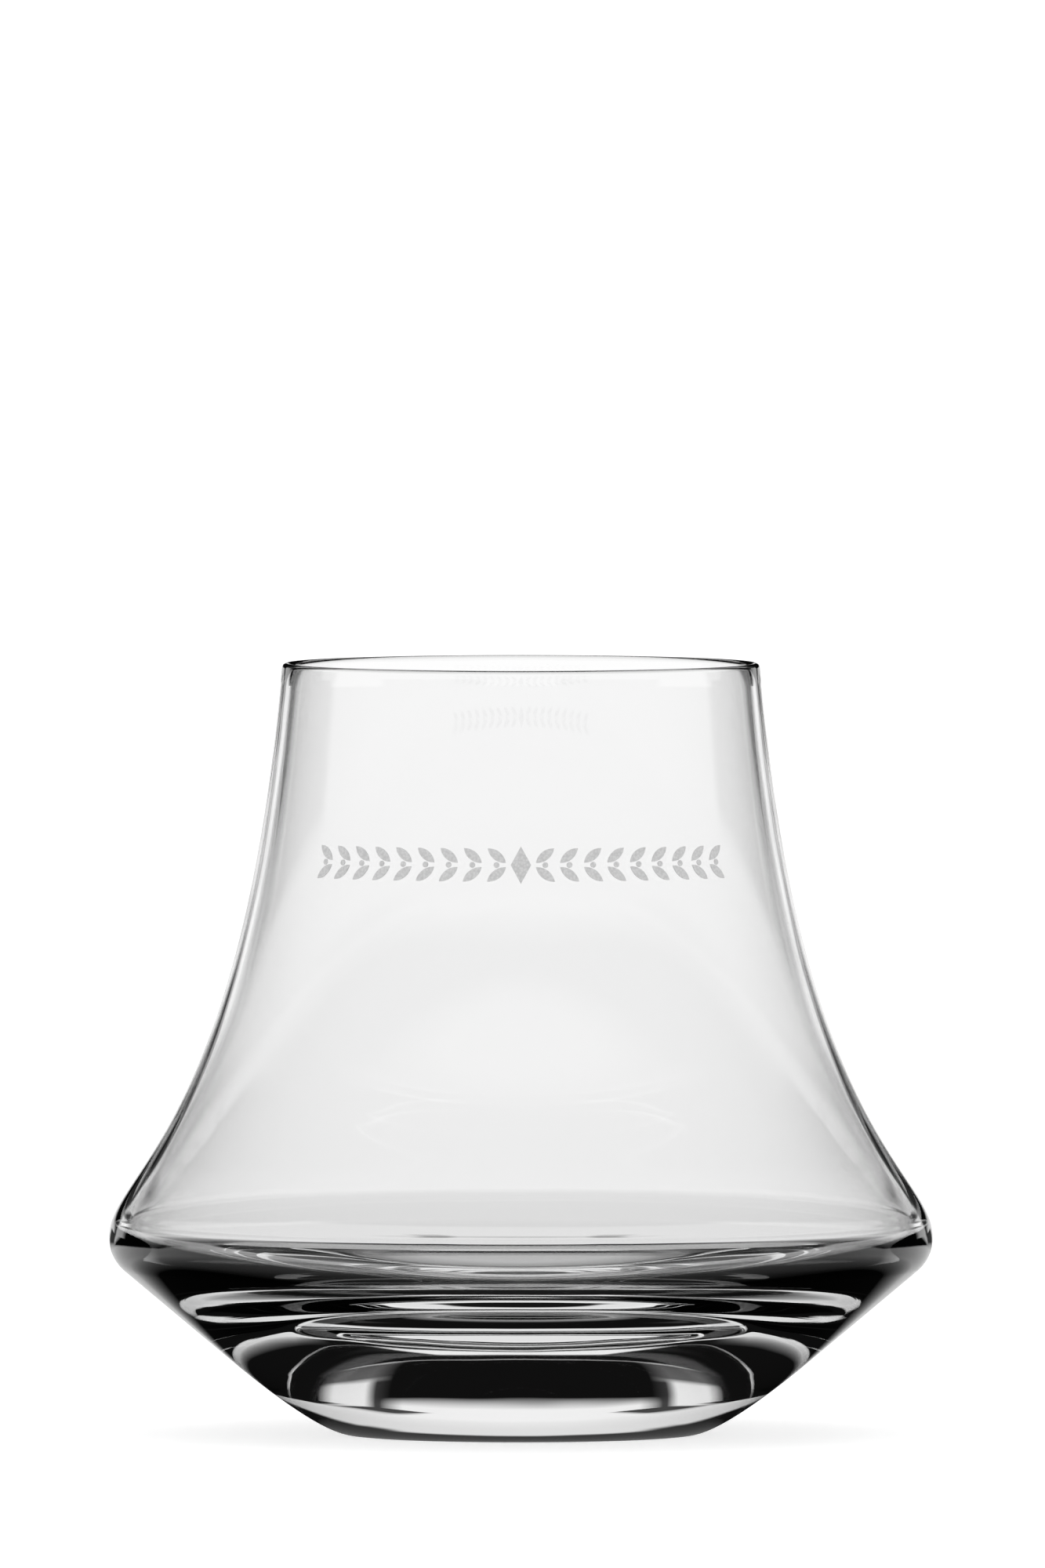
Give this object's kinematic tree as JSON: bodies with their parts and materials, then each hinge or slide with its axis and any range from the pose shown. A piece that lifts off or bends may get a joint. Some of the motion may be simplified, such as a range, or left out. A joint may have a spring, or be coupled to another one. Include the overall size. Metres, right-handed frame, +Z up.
{
  "type": "whisky glass",
  "caption": "Clear whisky glass: a narrow rim flares through a thin bell-shaped bowl into a wide round shoulder on a heavy solid base shaped as a low cone.",
  "frame": {"origin": "centre of the foot, on the surface that the glass stands on", "axes": "+Z up along the axis of the glass; -Y towards the engraved front"},
  "size_m": [0.105, 0.105, 0.0984],
  "materials": {
    "clear_glass": "clear, fire polished, colourless",
    "frosted_glass": "engraved, rough frosted white-grey"
  },
  "bodies": {
    "root": {"bowl": "clear_glass", "base": "clear_glass", "engraved_frieze": "frosted_glass"}
  },
  "joints": []
}
